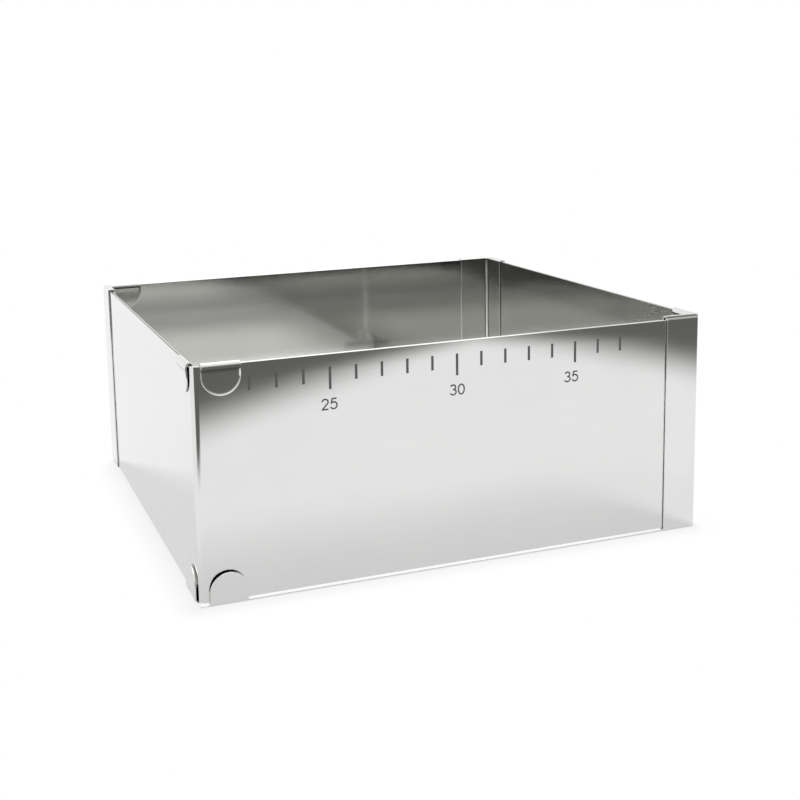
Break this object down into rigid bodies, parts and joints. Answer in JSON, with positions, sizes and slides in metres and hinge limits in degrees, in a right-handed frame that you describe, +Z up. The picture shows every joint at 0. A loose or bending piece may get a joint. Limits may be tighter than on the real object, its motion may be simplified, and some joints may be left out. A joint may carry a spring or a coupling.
{
  "type": "adjustable cake frame",
  "caption": "Rectangular bottomless cake frame of bent stainless sheet whose L-shaped panels slide in each other to set its width and depth.",
  "frame": {"origin": "centre of the closed frame's bounding box, at its lowest face", "axes": "+Z up out of the frame, +X along the width to the right as seen from the scale side, +Y to the back"},
  "size_m": [0.2114, 0.1944, 0.088],
  "materials": {
    "sheet": "satin",
    "strip": "satin"
  },
  "bodies": {
    "front_left": {"panel_front_left": "sheet", "guide_strip_front": "strip", "guide_strip_left": "strip"},
    "front_right": {"panel_front_right": "sheet", "guide_strip_right": "strip"},
    "back_left": {"panel_back_left": "sheet", "guide_strip_back": "strip"},
    "back_right": {"panel_back_right": "sheet"}
  },
  "joints": [
    {"name": "width_slide", "type": "slide", "parent": "front_left", "child": "front_right", "axis": [1, 0, 0], "range_m": [0, 0.17]},
    {"name": "depth_slide", "type": "slide", "parent": "front_left", "child": "back_left", "axis": [0, 1, 0], "range_m": [0, 0.155]},
    {"name": "far_depth_slide", "type": "slide", "parent": "front_right", "child": "back_right", "axis": [0, 1, 0], "range_m": [0, 0.155]}
  ],
  "couplings": [
    {"joint": "far_depth_slide", "follows": "depth_slide", "ratio": 1}
  ]
}
